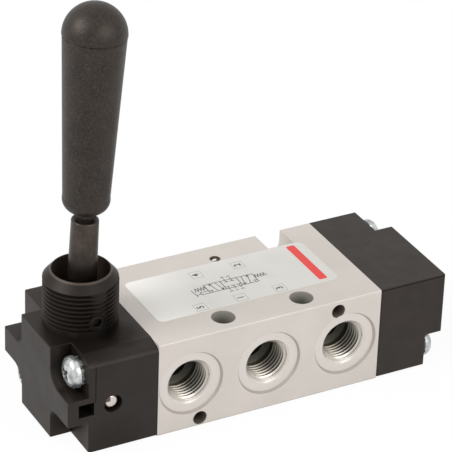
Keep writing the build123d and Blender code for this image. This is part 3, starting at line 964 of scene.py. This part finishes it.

# painted shade on the housing: round places, as (x, y, z, reach, strength)
housing_shade_spots = [
    (lever_x, 0.0, 35.0, 14.0, 0.12),  # the collar's upper part
    (lever_x - 2.0, -9.5, 23.6, 9.0, 0.2),  # the front of its foot
    (lever_x + 5.0, -8.5, 22.6, 5.5, 0.55),  # the right of its foot
    (-44.0, -11.0, 4.0, 5.0, 0.5),  # under the front ear
    (lever_x, 0.0, 28.0, 17.0, 0.25),  # the whole collar
    (-37.0, -16.0, -1.0, 10.0, 0.22),  # low on the front
    (-47.0, -5.0, 0.0, 10.0, 0.2),  # low on the outer end
]
finishes = {
    "body_aluminium": satin_aluminium(),
    "housing_plastic": moulded("housing_plastic", dark=linear(17, 13, 10), pale=linear(29, 24, 20),
                               grain_size=0.3, rough=0.5, relief_depth=0.06, shade_spots=housing_shade_spots),
    "cap_plastic": moulded("cap_plastic", dark=linear(26, 21, 18), pale=linear(42, 36, 31),
                           grain_size=0.3, rough=0.5, relief_depth=0.06, line=22.12),
    "handle_plastic": moulded("handle_plastic", dark=linear(14, 11, 8), pale=linear(50, 42, 35),
                              grain_size=0.5, rough=0.46, relief_depth=0.16, mottle=0.4, fleck=0.9, sheen=0.43),
    "dark_steel": turned_steel("dark_steel", dark=linear(54, 46, 40), pale=linear(73, 64, 57), rough=0.36,
                               tilt=lever_lean),
    "zinc_steel": plated("zinc_steel", colour=linear(206, 208, 205), tint=linear(146, 152, 154), rough=0.2,
                         metallic=0.75, recesses=screw_seats),
    "seal_rubber": rubber(),
    "spool_aluminium": plated("spool_aluminium", colour=linear(212, 210, 206), tint=linear(200, 198, 194),
                              rough=0.28),
    "spring_steel": plated("spring_steel", colour=linear(170, 168, 164), tint=linear(140, 138, 134),
                           rough=0.25),
    "label_film": label_film(),
}
# two bright pieces with a finish of their own
own_finishes = {"passage_ball": ball_steel(), "stop_pin": pin_steel()}
black_ink = ink("black_ink", linear(40, 38, 38), linear(150, 147, 143))
grey_ink = ink("grey_ink", linear(150, 148, 145), linear(190, 188, 184))
red_ink = ink("red_ink", linear(228, 62, 56), linear(232, 96, 88))


def coat(piece, finish):
    """Gives a piece one finish in place of what it had."""
    piece.data.materials.clear()
    piece.data.materials.append(finish)


def dress(piece, slot, body="root"):
    """Gives a piece the finish of its slot and its place among the moving bodies."""
    coat(piece, finishes[slot])
    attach(piece, body)


def printed(piece, ink_finish):
    """Gives a printed piece its ink."""
    coat(piece, ink_finish)
    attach(piece, "root")


for subpart in frame["record"]["subparts"]:
    name = subpart["node"]
    coat(nodes[name], own_finishes[name] if name in own_finishes else finishes[subpart["material_slot"]])

dress(threaded_housing(), "housing_plastic")
dress(eased_cap(), "cap_plastic")
for side, name in ((-1, "front_pin_ring"), (1, "back_pin_ring")):
    dress(pin_ring(name, side), "housing_plastic")
for fastener in end_screws():
    dress(fastener, "zinc_steel")
for thread in port_threads():
    dress(thread, "body_aluminium")
numbers, frames = port_numbers()
dress(printed_label(), "label_film")
printed(numbers, black_ink)
printed(frames, grey_ink)
printed(valve_symbol(), black_ink)
printed(label_stripe(), red_ink)


# Studio: a pale floor, a soft sky and two soft lamps


def camera_share(finish, share):
    """The share for rays that show the background, straight or in a reflection, and 0 for rays that light."""
    outputs = finish.node("ShaderNodeLightPath").socket.node.outputs
    straight, glossy, through = [
        Value(finish, outputs[name]) for name in ("Is Camera Ray", "Is Glossy Ray", "Is Transmission Ray")]
    return (straight + glossy + through).math("MINIMUM", 1.0) * share


def studio_floor():
    """A wide pale floor under the valve."""
    deselect()
    bpy.ops.mesh.primitive_plane_add(size=6, location=metres(0, 0, -0.05))
    floor = bpy.context.object
    floor.name = "studio_floor"
    settle(floor)
    finish = Finish("floor_paint")
    tone = finish.between(finish.noise(40.0, 2.0), linear(246, 246, 246), linear(250, 250, 250))
    lit = finish.node("ShaderNodeBsdfDiffuse", inputs={"Color": tone, "Roughness": 0.5})
    white = finish.node("ShaderNodeEmission", inputs={"Color": (1, 1, 1, 1), "Strength": 1.0})
    mixed = finish.node("ShaderNodeMixShader", inputs={0: camera_share(finish, share=0.94), 1: lit, 2: white})
    finish.node("ShaderNodeOutputMaterial", inputs={0: mixed})
    floor.data.materials.append(finish.material)


class Sky(Finish):
    """The world's own nodes."""

    def __init__(self, world):
        world.use_nodes = True
        self.tree = world.node_tree
        self.tree.nodes.clear()


def studio_sky(strength):
    """Plain soft light from all round, white where the camera sees it."""
    world = bpy.data.worlds.new("studio_sky")
    bpy.context.scene.world = world
    sky = Sky(world)
    light = sky.node("ShaderNodeBackground", inputs={"Color": (1, 1, 1, 1), "Strength": strength})
    white = sky.node("ShaderNodeBackground", inputs={"Color": (1, 1, 1, 1), "Strength": 1.0})
    mixed = sky.node("ShaderNodeMixShader", inputs={0: camera_share(sky, share=1.0), 1: light, 2: white})
    sky.node("ShaderNodeOutputWorld", inputs={0: mixed})


def soft_lamp(name, place, target, size, power):
    """A square soft lamp that faces a point. Metres and watts."""
    deselect()
    bpy.ops.object.light_add(type="AREA", location=place)
    lamp = bpy.context.object
    lamp.name = name
    lamp.data.shape = "SQUARE"
    lamp.data.size = size
    lamp.data.energy = power
    lamp.rotation_mode = "QUATERNION"
    lamp.rotation_quaternion = (Vector(target) - Vector(place)).to_track_quat("-Z", "Y")


def photo_camera():
    """The camera at the photograph's place, angle and lens."""
    azimuth, elevation, roll = (math.radians(angle) for angle in (-28.787, 29.736, 2.09))
    place = metres(-249.65, -448.86, 329.3)
    back = Vector((math.sin(azimuth) * math.cos(elevation), -math.cos(azimuth) * math.cos(elevation),
                   math.sin(elevation)))
    right = (-back).cross(Vector((0, 0, 1))).normalized()
    up = right.cross(-back)
    axes = (math.cos(roll) * right + math.sin(roll) * up, math.cos(roll) * up - math.sin(roll) * right, back)
    deselect()
    bpy.ops.object.camera_add()
    camera = bpy.context.object
    camera.data.lens = 223.08
    camera.data.shift_x = -0.00106
    camera.data.shift_y = 0.00069
    camera.data.sensor_width = 36
    camera.data.sensor_fit = "HORIZONTAL"
    camera.data.clip_end = 50
    camera.matrix_world = Matrix([[*[axis[row] for axis in axes], place[row]] for row in range(3)]
                                 + [[0, 0, 0, 1]])
    bpy.context.scene.camera = camera


studio_floor()
studio_sky(strength=0.62)
soft_lamp("key_lamp", place=(-0.9, 0.1, 0.75), target=(-0.02, 0, 0.04), size=0.6, power=8.0)
soft_lamp("fill_lamp", place=(0.35, -1.0, 0.6), target=(0, 0, 0.02), size=0.8, power=5.0)
photo_camera()
bpy.context.scene.view_settings.view_transform = "Standard"
